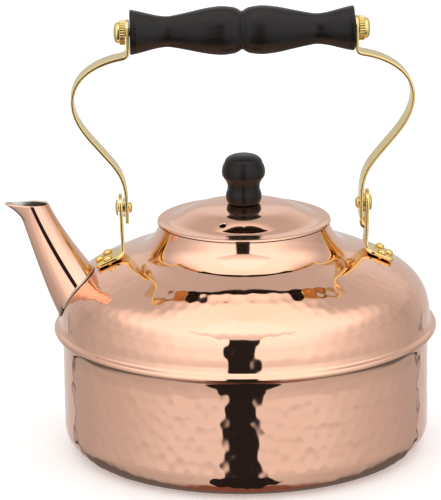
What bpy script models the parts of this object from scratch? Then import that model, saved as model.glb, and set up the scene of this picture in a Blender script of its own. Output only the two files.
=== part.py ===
"""Copper kettle with a bail handle, built as separate pieces.

Metres, +Z up, origin on the body's axis at its flat bottom, spout towards -X.
The bail swings about the X axis through its two pivot rivets, and the lid lifts off along Z.
"""
import math

import bmesh
import bpy
from mathutils import Vector
from mathutils.geometry import interpolate_bezier

MM = 0.001
GAP = 0.3 * MM              # clearance between pieces that touch

# Driving dimensions
PAN_RADIUS = 87.0 * MM      # outside of the upright wall
PAN_SHEET = 1.0 * MM
HEEL_RADIUS = 12.3 * MM
FLANGE_RADIUS = 90.9 * MM   # outside of the folded seam
FLANGE_BOTTOM = 57.6 * MM
FLANGE_TOP = 60.9 * MM
DOME_SHEET = 0.8 * MM
SHOULDER_RADIUS = 88.0 * MM
NECK_TOP = 110.1 * MM
LID_RADIUS = 41.0 * MM
LID_CROWN = 118.2 * MM
LID_SHEET = 0.8 * MM
KNOB_TOP = 142.1 * MM
PIVOT_Z = 117.4 * MM
GRIP_Z = 201.4 * MM
GRIP_HALF = 52.3 * MM
STRAP_SHEET = 1.6 * MM
STRAP_HALF_WIDTH = 6.1 * MM
STRAP_PIVOT_X = 55.2 * MM
STRAP_TAIL = 6.4 * MM       # below the pivot
LUG_SHEET = 1.7 * MM
LUG_PIVOT_X = 58.1 * MM
SPOUT_SHEET = 0.9 * MM
ROD_RADIUS = 2.0 * MM
PIN_RADIUS = 2.0 * MM

BODY_STEPS = 40
SMALL_STEPS = 16


def clear_scene():
    for old in list(bpy.data.objects):
        bpy.data.objects.remove(old, do_unlink=True)


def new_collection(name):
    collection = bpy.data.collections.new(name)
    bpy.context.scene.collection.children.link(collection)
    return collection


def make_material(name, colour, roughness, metallic):
    material = bpy.data.materials.new(name)
    material.use_nodes = True
    shader = material.node_tree.nodes["Principled BSDF"]
    shader.inputs["Base Color"].default_value = (*colour, 1.0)
    shader.inputs["Roughness"].default_value = roughness
    shader.inputs["Metallic"].default_value = metallic
    return material


clear_scene()
KETTLE = new_collection("copper_kettle")
CUTTERS = new_collection("cutters")
COPPER = {"colour": (0.72, 0.36, 0.24), "roughness": 0.14, "metallic": 1.0}
BRASS = {"colour": (0.76, 0.60, 0.28), "roughness": 0.20, "metallic": 1.0}
STEEL = {"colour": (0.55, 0.55, 0.56), "roughness": 0.30, "metallic": 1.0}
BLACK_WOOD = {"colour": (0.018, 0.014, 0.013), "roughness": 0.38, "metallic": 0.0}


def link(name, mesh, finish, parent=None):
    """Add an object made of mesh to the kettle, with a material of its own."""
    piece = bpy.data.objects.new(name, mesh)
    KETTLE.objects.link(piece)
    mesh.materials.append(make_material(name, **finish))
    if parent:
        piece.parent = parent
    return piece


def add_empty(name, location):
    empty = bpy.data.objects.new(name, None)
    empty.location = location
    empty.empty_display_size = 0.02
    KETTLE.objects.link(empty)
    bpy.context.view_layer.update()
    return empty


def curve_points(*corners, count=8):
    """Points along one cubic Bezier stretch, given as (x, z) corners in millimetres."""
    knots = [Vector((x * MM, 0.0, z * MM)) for x, z in corners]
    return [(p.x, p.z) for p in interpolate_bezier(knots[0], knots[1], knots[2], knots[3], count)]


def arc_points(centre, radius, start_deg, end_deg, count):
    points = []
    for i in range(count):
        angle = math.radians(start_deg + (end_deg - start_deg) * i / (count - 1))
        points.append((centre[0] + radius * math.cos(angle), centre[1] + radius * math.sin(angle)))
    return points


def smooth_shade(mesh, angle_deg=40.0):
    mesh.shade_smooth()
    mesh.set_sharp_from_angle(angle=math.radians(angle_deg))


def profile_mesh(name, profile, closed):
    mesh = bpy.data.meshes.new(name)
    edges = [(i, i + 1) for i in range(len(profile) - 1)]
    if closed:
        edges.append((len(profile) - 1, 0))
    mesh.from_pydata([(radius, 0.0, z) for radius, z in profile], edges, [])
    return mesh


def add_screw(piece, steps):
    screw = piece.modifiers.new("Turn", "SCREW")
    screw.axis = "Z"
    screw.steps = steps
    screw.render_steps = steps
    screw.use_merge_vertices = True
    screw.merge_threshold = 0.00001
    screw.use_smooth_shade = True


def turned(name, profile, finish, steps, closed=False, sheet=0.0, parent=None):
    """A turned piece: profile of (radius, z) down its outer side; sheet gives a shell its wall."""
    piece = link(name, profile_mesh(name, profile, closed), finish, parent)
    add_screw(piece, steps)
    if sheet:
        wall = piece.modifiers.new("Wall", "SOLIDIFY")
        wall.thickness = sheet
        wall.offset = -1.0
        wall.use_even_offset = True
    return piece


def ring_profile(outer, inner, top, bottom):
    return [(outer, top), (outer, bottom), (inner, bottom), (inner, top)]


def add_cylinder_cutter(name, radius, depth, centre, direction, segments=SMALL_STEPS):
    mesh = bpy.data.meshes.new(name)
    form = bmesh.new()
    bmesh.ops.create_cone(form, cap_ends=True, segments=segments, radius1=radius,
                          radius2=radius, depth=depth)
    form.to_mesh(mesh)
    form.free()
    cutter = bpy.data.objects.new(name, mesh)
    cutter.location = centre
    cutter.rotation_euler = Vector(direction).to_track_quat("Z", "Y").to_euler()
    keep_as_cutter(cutter)
    return cutter


def keep_as_cutter(cutter):
    CUTTERS.objects.link(cutter)
    cutter.hide_render = True
    cutter.display_type = "WIRE"
    bpy.context.view_layer.update()


def boolean(piece, other, operation="DIFFERENCE"):
    modifier = piece.modifiers.new("Cut " + other.name, "BOOLEAN")
    modifier.operation = operation
    modifier.solver = "EXACT"
    modifier.object = other


# Profiles of the body, (radius, z) in metres, down the outer side

def pan_profile():
    """Flange's underside, bend, upright wall, rounded heel and flat bottom."""
    under = FLANGE_BOTTOM + DOME_SHEET + GAP
    profile = [(FLANGE_RADIUS - DOME_SHEET - GAP, under)]
    profile.append((PAN_RADIUS + 1.2 * MM, under))
    profile.append((PAN_RADIUS + 0.3 * MM, under - 0.3 * MM))
    profile.append((PAN_RADIUS, under - 1.0 * MM))
    heel_centre = (PAN_RADIUS - HEEL_RADIUS, HEEL_RADIUS)
    profile += arc_points(heel_centre, HEEL_RADIUS, 0.0, -90.0, 6)
    profile.append((0.0, 0.0))
    return profile


def dome_outside():
    """Neck from its top edge, tight concave flare, nearly flat ring and round shoulder."""
    neck = curve_points((39.7, 110.1), (40.9, 104.6), (45.0, 98.6), (50.5, 96.4), count=6)
    ring = curve_points((50.5, 96.4), (53.0, 95.45), (56.0, 94.6), (59.0, 93.6), count=3)
    upper = curve_points((59.0, 93.6), (63.6, 92.0), (69.2, 89.7), (75.0, 86.35), count=5)
    shoulder = curve_points((75.0, 86.35), (80.6, 83.1), (88.0, 77.5), (88.0, 61.9), count=7)
    return neck + ring[1:] + upper[1:] + shoulder[1:]


def dome_profile():
    """The dome's outside and the hem folded under the pan's flange."""
    turn = 0.7 * MM
    hem = [
        (SHOULDER_RADIUS + 0.6 * MM, FLANGE_TOP + 0.1 * MM),
        (FLANGE_RADIUS - turn, FLANGE_TOP),
        (FLANGE_RADIUS, FLANGE_TOP - turn),
        (FLANGE_RADIUS, FLANGE_BOTTOM + turn),
        (FLANGE_RADIUS - turn, FLANGE_BOTTOM),
        (PAN_RADIUS + 1.1 * MM, FLANGE_BOTTOM),
    ]
    return dome_outside() + hem


def trimmer_profile():
    """The dome's outside raised by the gap and closed at the axis: it trims what stands on the dome."""
    floor = FLANGE_BOTTOM - 20.0 * MM
    raised = [(radius + GAP, z + GAP) for radius, z in dome_outside()]
    return [(0.0, raised[0][1])] + raised + [(raised[-1][0], floor), (0.0, floor)]


# Spout, lofted between oval rings that follow its outer and inner edges

SPOUT_OUTER_EDGE = ((-84.5, 58.0), (-93.0, 72.0), (-99.5, 97.0), (-107.2, 120.2))
SPOUT_INNER_EDGE = ((-64.0, 79.0), (-74.0, 91.0), (-85.5, 106.0), (-92.0, 120.2))
SPOUT_ROOT_HALF = 22.5 * MM
SPOUT_MOUTH_HALF = 6.0 * MM
SPOUT_TAPER = 1.75          # how early the width falls off above the root
SPOUT_RING_COUNT = 10
SPOUT_SIDES = 24
LIP_REACH = 5.6 * MM        # how far the pouring lip turns out past the tube


def spout_rings():
    """Oval rings between the two edges, root to mouth; the last two turn out into the lip."""
    outer_edge = curve_points(*SPOUT_OUTER_EDGE, count=SPOUT_RING_COUNT)
    inner_edge = curve_points(*SPOUT_INNER_EDGE, count=SPOUT_RING_COUNT)
    lip = {SPOUT_RING_COUNT - 1: LIP_REACH, SPOUT_RING_COUNT - 2: 0.28 * LIP_REACH}
    rings = []
    for number, (outer, inner) in enumerate(zip(outer_edge, inner_edge)):
        left = 1.0 - number / (SPOUT_RING_COUNT - 1)
        half_width = SPOUT_MOUTH_HALF + (SPOUT_ROOT_HALF - SPOUT_MOUTH_HALF) * left ** SPOUT_TAPER
        ring = []
        for i in range(SPOUT_SIDES):
            angle = math.tau * i / SPOUT_SIDES
            share = (1.0 + math.cos(angle)) / 2
            x = inner[0] + share * (outer[0] - inner[0])
            x -= lip.get(number, 0.0) * max(0.0, math.cos(angle)) ** 3
            z = inner[1] + share * (outer[1] - inner[1])
            ring.append((x, half_width * math.sin(angle), z))
        rings.append(ring)
    return rings


def make_spout():
    """Loft between unlike ovals: an open tube, walled inwards and trimmed to the shoulder."""
    form = bmesh.new()
    rings = [[form.verts.new(point) for point in ring] for ring in spout_rings()]
    for low, high in zip(rings, rings[1:]):
        for i in range(SPOUT_SIDES):
            j = (i + 1) % SPOUT_SIDES
            form.faces.new((low[i], high[i], high[j], low[j]))
    bmesh.ops.recalc_face_normals(form, faces=form.faces)
    mesh = bpy.data.meshes.new("spout")
    form.to_mesh(mesh)
    form.free()
    mesh.shade_smooth()
    spout = link("spout", mesh, COPPER)
    wall = spout.modifiers.new("Wall", "SOLIDIFY")
    wall.thickness = SPOUT_SHEET
    wall.offset = -1.0
    trimmer_mesh = profile_mesh("dome_trimmer", trimmer_profile(), False)
    trimmer = bpy.data.objects.new("dome_trimmer", trimmer_mesh)
    add_screw(trimmer, BODY_STEPS)
    keep_as_cutter(trimmer)
    boolean(spout, trimmer)


# Bent brass strip: straps and lugs

def ribbon(name, stations, sheet, finish, turn_deg=0.0, parent=None):
    """Strip with its centreline in the XZ plane; stations are (x, z, half width) in metres."""
    form = bmesh.new()
    rows = []
    for x, z, half in stations:
        rows.append((form.verts.new((x, -half, z)), form.verts.new((x, half, z))))
    for above, below in zip(rows, rows[1:]):
        form.faces.new((above[0], below[0], below[1], above[1]))
    mesh = bpy.data.meshes.new(name)
    form.to_mesh(mesh)
    form.free()
    mesh.shade_smooth()
    piece = link(name, mesh, finish, parent)
    piece.rotation_euler = (0.0, 0.0, math.radians(turn_deg))
    wall = piece.modifiers.new("Wall", "SOLIDIFY")
    wall.thickness = sheet
    wall.offset = 0.0
    wall.use_even_offset = True
    return piece


def round_end(x, centre_z, radius, lean=0.0, count=5):
    """Stations of a half-round end above centre_z, from its tip down."""
    stations = []
    for i in range(count):
        angle = math.radians(12.0 + 78.0 * i / (count - 1))
        rise = radius * math.cos(angle)
        stations.append((x + lean * rise, centre_z + rise, radius * math.sin(angle)))
    return stations


def strap_stations():
    """From the tab at the grip, out round the elbow and in to the pivot; z is measured from the pivot."""
    tab_x = GRIP_HALF + GAP + STRAP_SHEET / 2
    stations = round_end(tab_x, GRIP_Z, STRAP_HALF_WIDTH)
    centreline = curve_points((53.4, 193.4), (53.4, 190.6), (54.6, 190.3), (57.2, 189.8), count=5)
    centreline += curve_points((57.2, 189.8), (67.0, 188.0), (79.7, 182.0), (79.7, 169.5), count=9)[1:]
    centreline += curve_points((79.7, 169.5), (79.7, 160.0), (72.5, 152.4), (67.6, 146.6), count=8)[1:]
    centreline += curve_points((67.6, 146.6), (60.0, 137.6), (55.9, 134.0), (55.4, 122.4), count=8)[1:]
    centreline.append((STRAP_PIVOT_X, PIVOT_Z))
    centreline.append((STRAP_PIVOT_X, PIVOT_Z - STRAP_TAIL))
    stations += [(x, z, STRAP_HALF_WIDTH) for x, z in centreline]
    return [(x, z - PIVOT_Z, half) for x, z, half in stations]


FOOT_START = (61.8 * MM, 93.95 * MM)
FOOT_END = (70.2 * MM, 90.32 * MM)
LUG_HALF_WIDTH = 6.5 * MM
FOOT_HALF_WIDTH = 8.4 * MM
LUG_LEAN = 0.03             # outward lean of the upright


def lug_stations():
    """Round top, leaning upright, bend and the foot that lies down the shoulder."""
    stations = round_end(LUG_PIVOT_X, PIVOT_Z, LUG_HALF_WIDTH, lean=LUG_LEAN)
    stations.append((57.65 * MM, 103.0 * MM, LUG_HALF_WIDTH))
    bend = curve_points((57.5, 98.6), (57.45, 96.4), (58.4, 95.4), (59.95, 94.75), count=6)
    for number, (x, z) in enumerate(bend):
        share = number / (len(bend) - 1)
        stations.append((x, z, LUG_HALF_WIDTH + share * (FOOT_HALF_WIDTH - LUG_HALF_WIDTH)))
    stations.append((*FOOT_START, FOOT_HALF_WIDTH))
    stations.append((FOOT_END[0] - 1.2 * MM, FOOT_END[1] + 0.52 * MM, FOOT_HALF_WIDTH))
    stations.append((*FOOT_END, FOOT_HALF_WIDTH - 1.0 * MM))
    return stations


FOOT_SLOPE = math.atan2(FOOT_START[1] - FOOT_END[1], FOOT_END[0] - FOOT_START[0])
FOOT_NORMAL = Vector((math.sin(FOOT_SLOPE), 0.0, math.cos(FOOT_SLOPE)))
RIVET_PLACES = [(64.4 * MM, -5.5 * MM), (64.4 * MM, 5.5 * MM), (68.1 * MM, 0.0)]
RIVET_SHANK = 1.2 * MM
RIVET_HOLE = RIVET_SHANK + GAP
RIVET_HEAD = 2.25 * MM


def foot_point(x, y):
    share = (x - FOOT_START[0]) / (FOOT_END[0] - FOOT_START[0])
    return Vector((x, y, FOOT_START[1] + share * (FOOT_END[1] - FOOT_START[1])))


def side_vector(vector, side):
    """The same point on the spout side (-1) or the rear side (+1)."""
    return Vector((side * vector[0], side * vector[1], vector[2]))


def make_foot_rivet(name, side, place):
    """Dome head on the foot, shank through both sheets, and a small closing head inside."""
    head_base = LUG_SHEET / 2 + GAP
    head_height = 1.6 * MM
    curved_sheet_room = 0.55 * MM
    inside = -(LUG_SHEET / 2 + GAP + DOME_SHEET + GAP + curved_sheet_room)
    closing_radius = 1.8 * MM
    closing_end = inside - 0.9 * MM
    dome = []
    for degrees in (0, 30, 60, 90):
        angle = math.radians(degrees)
        dome.append((RIVET_HEAD * math.sin(angle), head_base + head_height * math.cos(angle)))
    tail = [(RIVET_SHANK, head_base), (RIVET_SHANK, inside), (closing_radius, inside),
            (closing_radius, closing_end), (0.0, closing_end)]
    rivet = turned(name, dome + tail, BRASS, 12)
    rivet.location = side_vector(foot_point(*place), side)
    rivet.rotation_euler = side_vector(FOOT_NORMAL, side).to_track_quat("Z", "Y").to_euler()


def cut_rivet_holes(piece, side, label):
    for number, place in enumerate(RIVET_PLACES):
        centre = side_vector(foot_point(*place), side)
        direction = side_vector(FOOT_NORMAL, side)
        name = "{}_rivet_hole_{}".format(label, number + 1)
        boolean(piece, add_cylinder_cutter(name, RIVET_HOLE, 12.0 * MM, centre, direction, 12))


def make_stop_tab(lug):
    """Half-round lance pressed inwards below the pivot: the strap's square tail comes down on it."""
    centre_z = PIVOT_Z - 9.8 * MM
    reach, half_height, half_width = 2.4 * MM, 2.6 * MM, 1.75 * MM
    face_x = LUG_PIVOT_X - LUG_SHEET / 2 - 0.2 * MM
    outline = [(LUG_PIVOT_X - 0.2 * MM, centre_z + half_height)]
    for i in range(9):
        angle = math.pi / 2 + math.pi * i / 8
        outline.append((face_x + reach * math.cos(angle), centre_z + half_height * math.sin(angle)))
    outline.append((LUG_PIVOT_X - 0.2 * MM, centre_z - half_height))
    curve = bpy.data.curves.new("stop_tab", "CURVE")
    curve.dimensions = "2D"
    curve.fill_mode = "BOTH"
    curve.extrude = half_width
    spline = curve.splines.new("POLY")
    spline.points.add(len(outline) - 1)
    for point, (x, z) in zip(spline.points, outline):
        point.co = (x, z, 0.0, 1.0)
    spline.use_cyclic_u = True
    flat = bpy.data.objects.new("stop_tab_curve", curve)
    KETTLE.objects.link(flat)
    flat.rotation_euler = (math.pi / 2, 0.0, 0.0)
    bpy.context.view_layer.update()
    solid = bpy.data.meshes.new_from_object(flat.evaluated_get(bpy.context.evaluated_depsgraph_get()))
    form = bmesh.new()
    form.from_mesh(solid)
    bmesh.ops.remove_doubles(form, verts=form.verts, dist=0.00001)
    form.to_mesh(solid)
    form.free()
    tab = bpy.data.objects.new("stop_tab", solid)
    tab.matrix_world = flat.matrix_world.copy()
    bpy.data.objects.remove(flat)
    keep_as_cutter(tab)
    boolean(lug, tab, "UNION")


def lay_on_pivot(piece, side):
    """Turn a piece's own axis onto the hinge line, pointing outwards on its side."""
    piece.location = (0.0, 0.0, PIVOT_Z)
    piece.rotation_euler = (0.0, side * math.pi / 2, 0.0)


def make_pivot_rivet(name, side):
    """Flat-domed outer head, shank through lug, washer and strap, and a domed inner head."""
    lean_room = 0.15 * MM
    outer = LUG_PIVOT_X + LUG_SHEET / 2 + GAP + lean_room
    inner = STRAP_PIVOT_X - STRAP_SHEET / 2 - GAP
    profile = [(0.0, outer + 1.35 * MM), (2.0 * MM, outer + 1.2 * MM), (3.3 * MM, outer + 0.75 * MM),
               (4.0 * MM, outer), (PIN_RADIUS, outer), (PIN_RADIUS, inner), (2.8 * MM, inner),
               (2.3 * MM, inner - 0.9 * MM), (1.2 * MM, inner - 1.4 * MM), (0.0, inner - 1.5 * MM)]
    lay_on_pivot(turned(name, profile, BRASS, SMALL_STEPS), side)


def make_pivot_washer(name, side):
    low = STRAP_PIVOT_X + STRAP_SHEET / 2 + GAP
    profile = ring_profile(4.6 * MM, PIN_RADIUS + GAP, low + 0.6 * MM, low)
    lay_on_pivot(turned(name, profile, BRASS, SMALL_STEPS, closed=True), side)


def make_lug(name, side):
    turn = 0.0 if side > 0 else 180.0
    lug = ribbon(name, lug_stations(), LUG_SHEET, BRASS, turn)
    if side > 0:
        make_stop_tab(lug)
    pivot = (side * LUG_PIVOT_X, 0.0, PIVOT_Z)
    boolean(lug, add_cylinder_cutter(name + "_pivot_hole", PIN_RADIUS + GAP, 8.0 * MM, pivot, (1, 0, 0)))
    cut_rivet_holes(lug, side, name)


# Body

def make_lower_body():
    turned("lower_body", pan_profile(), COPPER, BODY_STEPS, sheet=PAN_SHEET)


def make_upper_body():
    body = turned("upper_body", dome_profile(), COPPER, BODY_STEPS, sheet=DOME_SHEET)
    spout_hole = add_cylinder_cutter("spout_hole", 12.0 * MM, 26.0 * MM, (-81.5 * MM, 0.0, 79.5 * MM),
                                     (-0.82, 0.0, 0.57), 24)
    boolean(body, spout_hole)
    for side, label in ((-1, "spout_side"), (1, "rear_side")):
        cut_rivet_holes(body, side, label)


# Lid

def lid_profile():
    """Low crown, steeper side, flat brim and the rim turned down over the neck's edge."""
    crown = curve_points((1.8, 118.2), (9.0, 118.2), (15.0, 117.95), (20.5, 117.05), count=4)
    side = curve_points((20.5, 117.05), (24.5, 116.4), (27.5, 115.05), (30.5, 113.4), count=4)
    brim = curve_points((30.5, 113.4), (32.5, 112.25), (34.1, 111.35), (37.3, 111.2), count=5)
    edge = [(39.9 * MM, 111.1 * MM), (40.7 * MM, 110.85 * MM), (LID_RADIUS, 110.3 * MM),
            (LID_RADIUS, 109.5 * MM)]
    return crown + side[1:] + brim[1:] + edge


def make_lid(parent):
    lid = turned("lid", lid_profile(), COPPER, BODY_STEPS, sheet=LID_SHEET)
    lower_into(lid, parent)
    vent_place = (-11.0 * MM, -26.0 * MM, 114.5 * MM)
    boolean(lid, add_cylinder_cutter("vent_hole", 1.65 * MM, 12.0 * MM, vent_place, (0, 0, 1)))


def lower_into(piece, parent):
    """Hang a piece on an empty and keep it where it was drawn."""
    piece.parent = parent
    piece.location = -parent.location


def make_lid_skirt(parent):
    """Ring inside the neck, turned in at the top where it is soldered to the lid."""
    skirt_radius = 38.4 * MM
    profile = [(33.8 * MM, 110.05 * MM), (37.9 * MM, 110.05 * MM), (skirt_radius, 109.5 * MM),
               (skirt_radius, 98.0 * MM)]
    skirt = turned("lid_skirt", profile, COPPER, BODY_STEPS, sheet=0.7 * MM)
    lower_into(skirt, parent)
    return skirt


SCREW_RADIUS = 1.5 * MM
SCREW_END = 129.5 * MM


def make_knob(parent):
    """Turned knob: foot, flare, waist, round head with a ledge and a domed top; a blind hole below."""
    base = LID_CROWN + GAP
    profile = [(0.0, KNOB_TOP)]
    profile += curve_points((3.2, 142.0), (6.4, 141.6), (8.8, 140.2), (9.0, 137.9), count=5)
    profile += curve_points((9.9, 136.6), (10.4, 134.6), (10.2, 132.6), (9.3, 130.6), count=5)
    profile += curve_points((8.3, 129.0), (7.5, 127.4), (7.5, 125.6), (8.2, 123.4), count=5)
    profile += [(8.5 * MM, 121.7 * MM), (8.3 * MM, 120.2 * MM), (7.5 * MM, base)]
    hole_radius = SCREW_RADIUS + GAP
    hole_end = SCREW_END + 0.5 * MM
    profile += [(hole_radius, base), (hole_radius, hole_end), (0.0, hole_end)]
    lower_into(turned("lid_knob", profile, BLACK_WOOD, SMALL_STEPS), parent)


def make_knob_fastening(parent):
    """Washer under the lid and the screw that goes up into the knob."""
    washer_top = LID_CROWN - LID_SHEET - GAP - 0.1 * MM
    washer_bottom = washer_top - 0.7 * MM
    profile = ring_profile(5.0 * MM, SCREW_RADIUS + GAP, washer_top, washer_bottom)
    lower_into(turned("knob_washer", profile, STEEL, SMALL_STEPS, closed=True), parent)
    head_top = washer_bottom - GAP
    head_bottom = head_top - 2.0 * MM
    profile = [(0.0, SCREW_END), (SCREW_RADIUS, SCREW_END), (SCREW_RADIUS, head_top), (3.4 * MM, head_top),
               (3.2 * MM, head_bottom + 0.7 * MM), (2.0 * MM, head_bottom), (0.0, head_bottom)]
    lower_into(turned("knob_screw", profile, STEEL, SMALL_STEPS), parent)


# Bail

# Turned grip, (distance from the middle, radius) in millimetres: groove, swell, neck and flared end
GRIP_STATIONS = [(0.0, 9.0), (3.4, 10.7), (6.5, 11.2), (9.5, 11.4), (13.0, 11.15), (18.0, 10.4), (25.0, 8.9),
                 (31.0, 7.7), (35.0, 7.2), (40.0, 7.8), (46.5, 9.4), (51.0, 10.4)]
GRIP_END_RADIUS = 10.3 * MM


def lay_in_grip(piece, side=1):
    piece.location = (0.0, 0.0, GRIP_Z - PIVOT_Z)
    piece.rotation_euler = (0.0, side * math.pi / 2, 0.0)


def make_grip(pivot):
    one_half = [(radius * MM, -along * MM) for along, radius in GRIP_STATIONS]
    one_half.append((GRIP_END_RADIUS, -GRIP_HALF))
    outside = [(radius, -z) for radius, z in reversed(one_half[1:])] + one_half
    hole = ROD_RADIUS + GAP
    profile = outside + [(hole, -GRIP_HALF), (hole, GRIP_HALF)]
    lay_in_grip(turned("grip", profile, BLACK_WOOD, SMALL_STEPS, closed=True, parent=pivot))


NUT_START = GRIP_HALF + GAP + STRAP_SHEET + GAP
NUT_END = NUT_START + 5.4 * MM


def make_grip_rod(pivot):
    half = NUT_END - 1.6 * MM
    profile = [(0.0, half), (ROD_RADIUS, half), (ROD_RADIUS, -half), (0.0, -half)]
    lay_in_grip(turned("grip_rod", profile, STEEL, SMALL_STEPS, parent=pivot))


def make_cap_nut(name, side, pivot):
    """Collar next to the strap, smooth round cap, and a blind hole for the rod."""
    hole = ROD_RADIUS + GAP
    hole_end = NUT_END - 1.3 * MM
    cap_radius, collar_radius = 4.9 * MM, 5.9 * MM
    collar_end = NUT_START + 2.6 * MM
    profile = []
    for degrees in (0, 35, 60, 80):
        angle = math.radians(degrees)
        rise = (NUT_END - collar_end) * math.cos(angle) ** 0.6
        profile.append((cap_radius * math.sin(angle), collar_end + rise))
    profile += [(cap_radius, collar_end), (collar_radius, collar_end), (collar_radius, NUT_START),
                (hole, NUT_START), (hole, hole_end), (0.0, hole_end)]
    lay_in_grip(turned(name, profile, BRASS, SMALL_STEPS, parent=pivot), side)


def make_strap(name, side, pivot):
    turn = 0.0 if side > 0 else 180.0
    strap = ribbon(name, strap_stations(), STRAP_SHEET, BRASS, turn, pivot)
    pin_hole = add_cylinder_cutter(name + "_pin_hole", PIN_RADIUS + 0.15 * MM, 6.0 * MM,
                                   (side * STRAP_PIVOT_X, 0.0, PIVOT_Z), (1, 0, 0))
    boolean(strap, pin_hole)
    rod_hole = add_cylinder_cutter(name + "_rod_hole", ROD_RADIUS + GAP, 6.0 * MM,
                                   (side * (GRIP_HALF + STRAP_SHEET / 2), 0.0, GRIP_Z), (1, 0, 0))
    boolean(strap, rod_hole)


def build():
    make_lower_body()
    make_upper_body()
    make_spout()
    sides = ((-1, "spout"), (1, "rear"))
    for side, label in sides:
        make_lug(label + "_lug", side)
        make_pivot_rivet(label + "_pivot_rivet", side)
        make_pivot_washer(label + "_pivot_washer", side)
        for number, place in enumerate(RIVET_PLACES):
            make_foot_rivet("{}_foot_rivet_{}".format(label, number + 1), side, place)
    lid_seat = add_empty("lid_seat", (0.0, 0.0, NECK_TOP))
    make_lid(lid_seat)
    make_lid_skirt(lid_seat)
    make_knob(lid_seat)
    make_knob_fastening(lid_seat)
    bail_pivot = add_empty("bail_pivot", (0.0, 0.0, PIVOT_Z))
    make_grip(bail_pivot)
    make_grip_rod(bail_pivot)
    for side, label in sides:
        make_strap(label + "_strap", side, bail_pivot)
        make_cap_nut(label + "_cap_nut", side, bail_pivot)


build()
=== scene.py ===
import math

import bmesh
import bpy
from mathutils import Matrix, Vector
from mathutils.geometry import interpolate_bezier


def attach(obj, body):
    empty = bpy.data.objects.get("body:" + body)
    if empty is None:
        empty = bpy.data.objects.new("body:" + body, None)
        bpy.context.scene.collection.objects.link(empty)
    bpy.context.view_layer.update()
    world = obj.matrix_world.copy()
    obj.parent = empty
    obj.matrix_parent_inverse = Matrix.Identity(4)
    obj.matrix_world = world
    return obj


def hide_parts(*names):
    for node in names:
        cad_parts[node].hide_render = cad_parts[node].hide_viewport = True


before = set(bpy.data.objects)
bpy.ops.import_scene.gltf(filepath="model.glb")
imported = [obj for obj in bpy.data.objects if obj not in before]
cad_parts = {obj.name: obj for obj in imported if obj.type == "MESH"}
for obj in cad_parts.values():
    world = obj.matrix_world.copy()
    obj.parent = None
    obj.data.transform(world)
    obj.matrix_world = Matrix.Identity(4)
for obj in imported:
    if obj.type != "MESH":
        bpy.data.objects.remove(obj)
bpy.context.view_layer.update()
mm = 0.001
spoutSide, rearSide = -1, 1     # the spout points towards -X
print("frame loaded:", len(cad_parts), "parts")


def add(tree, kind, inputs=None, stops=None, **settings):
    # one node with its settings, giving its outputs; an input takes a value or another node's output
    node = tree.nodes.new(kind)
    for name, value in settings.items():
        setattr(node, name, value)
    for key, value in (inputs or {}).items():
        if isinstance(value, bpy.types.NodeSocket):
            tree.links.new(value, node.inputs[key])
        else:
            node.inputs[key].default_value = value
    if stops:
        elements = node.color_ramp.elements
        while len(elements) < len(stops):
            elements.new(1.0)
        for element, (place, level) in zip(elements, stops):
            element.position = place
            element.color = (*level, 1.0) if isinstance(level, tuple) else (level, level, level, 1.0)
    return node.outputs


def linked(name, data):
    piece = bpy.data.objects.new(name, data)
    bpy.context.scene.collection.objects.link(piece)
    return piece


def linear(code):
    # sRGB hex to linear colour
    parts = [int(code[i:i + 2], 16) / 255.0 for i in (0, 2, 4)]
    return tuple(p / 12.92 if p <= 0.04045 else ((p + 0.055) / 1.055) ** 2.4 for p in parts)


# Studio: the metal mirrors it, so its softboxes and dark gap are laid out by direction

studio = {
    "turn": math.radians(2.5),      # it faces the camera, 2.5 degrees off the kettle's front
    # a band starts between the two heights; stops are (degrees from the camera's side, level)
    "bands": [
        (-90, -90, [(0, (0.15, 0.07, 0.05)), (180, (0.15, 0.07, 0.05))]),
        (-76, -62, [(0, 0.50), (90, 0.35), (105, 0.26), (118, 0.10), (180, 0.10)]),
        (-34, -27, [(0, 0.56), (90, 0.38), (130, 0.30), (138, 0.30), (139, 0.03), (142, 0.03),
                    (143.5, 0.36), (180, 0.50)]),
        (-23, -18, [(0, 0.62), (45, 0.60), (80, 0.44), (120, 0.34), (138, 0.33), (139.2, 0.17),
                    (141, 0.17), (142, 0.42), (180, 0.52)]),
        (-14, -3, [(0, 0.86), (40, 0.82), (62, 0.62), (90, 0.44), (120, 0.33), (150, 0.44), (180, 0.44)]),
        (15, 19, [(0, 0.93), (42, 0.90), (62, 0.68), (90, 0.48), (120, 0.37), (150, 0.50), (180, 0.58)]),
        (24, 46, [(0, 1.02), (45, 1.0), (90, 0.92), (112, 0.68), (130, 0.42), (180, 0.38)]),
        (56, 70, [(0, (1.02, 0.98, 0.94)), (100, (0.98, 0.94, 0.90)), (180, (0.92, 0.87, 0.82))]),
    ],
    "gain": 1.5,
    "plainLevel": 1.06,             # what everything but a mirrored ray sees
    "gapMiddle": -2.0,              # the dark gap between the front softboxes, in degrees
    "gapEdge": 1.2,
    # (height, half width) in degrees, and (height, level)
    "gapWidths": [(-60, 34), (-40, 24), (-27, 12), (-15, 9.5), (41, 9.5), (46, 28), (50, 44), (90, 50)],
    "gapLevels": [(-90, 0.012), (41, 0.015), (42.5, 0.62), (49, 0.70), (58, 1.06), (66, 1.04), (90, 1.0)],
}


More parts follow.
